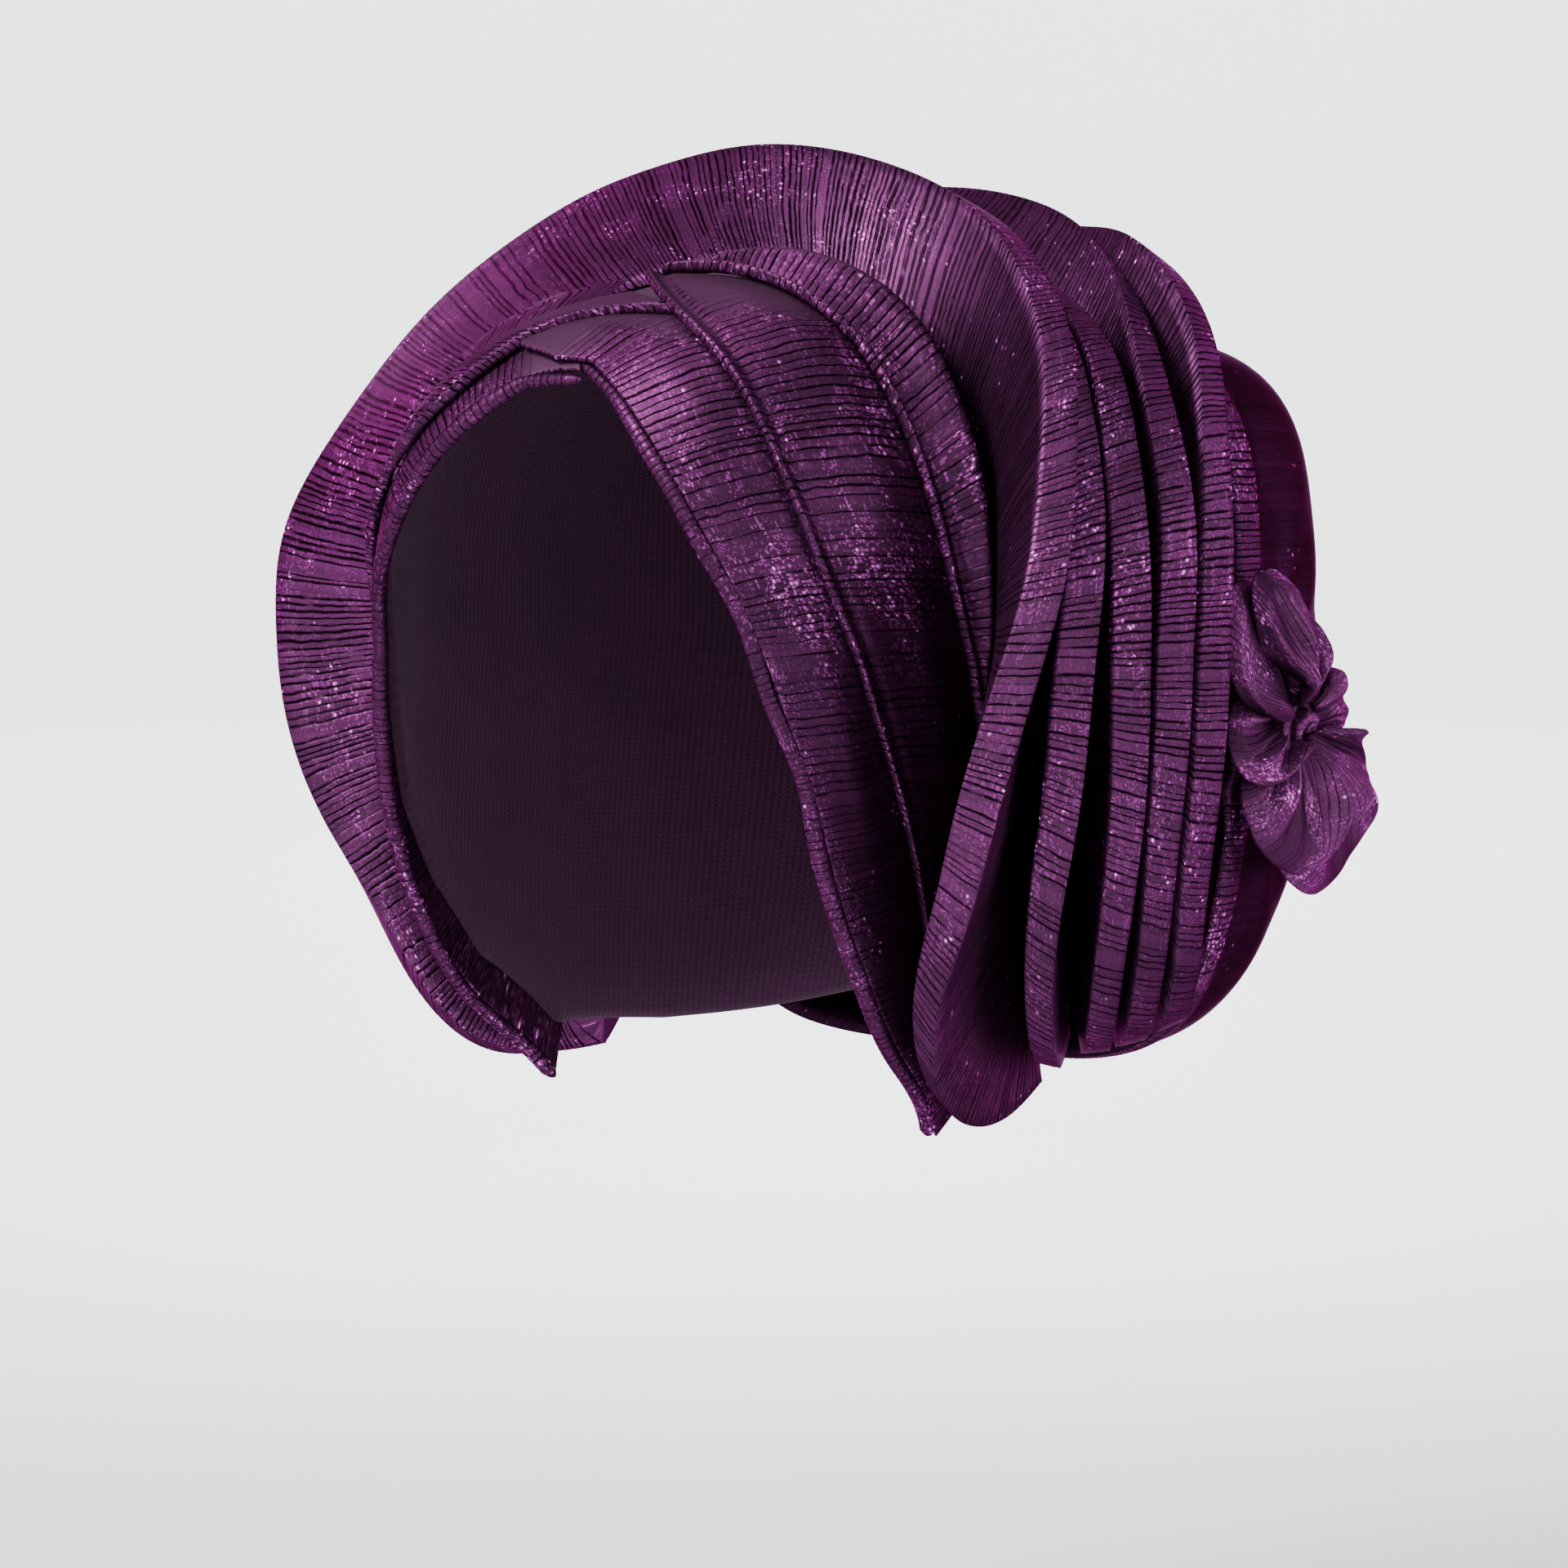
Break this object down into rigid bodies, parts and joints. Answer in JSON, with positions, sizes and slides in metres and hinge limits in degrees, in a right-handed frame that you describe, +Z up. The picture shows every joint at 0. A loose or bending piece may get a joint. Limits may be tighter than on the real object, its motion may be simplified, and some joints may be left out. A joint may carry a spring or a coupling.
{
  "type": "turban cap",
  "caption": "Soft ready-tied turban cap: pleated bands cross over the forehead, padded leaves stand up over the head like a halo, with a padded bowl and a rosette behind.",
  "frame": {"origin": "Where the inside of the crown rests on top of the head.", "axes": "+Z is up, the face looks towards -Y, and the wearer's left is towards +X, where the rosette sits."},
  "size_m": [0.2433, 0.2245, 0.2372],
  "materials": {
    "plum_lame": "metallic ribbed",
    "plum_lame_folds": "metallic ribbed",
    "cap_cloth": "matte"
  },
  "bodies": {
    "root": {"cap": "cap_cloth", "bowl_core": "cap_cloth", "band_right_low": "plum_lame", "band_right_high": "plum_lame", "band_left_1": "plum_lame", "band_left_2": "plum_lame", "band_left_3": "plum_lame", "face_roll_right": "plum_lame_folds", "face_roll_left": "plum_lame_folds", "leaf_a": "plum_lame", "leaf_b": "plum_lame", "leaf_c": "plum_lame", "leaf_d": "plum_lame", "leaf_e": "plum_lame", "bowl": "plum_lame", "rosette_bud": "plum_lame_folds", "petal_1": "plum_lame_folds", "petal_2": "plum_lame_folds", "petal_3": "plum_lame_folds", "petal_4": "plum_lame_folds", "petal_5": "plum_lame_folds", "petal_6": "plum_lame_folds"}
  },
  "joints": []
}
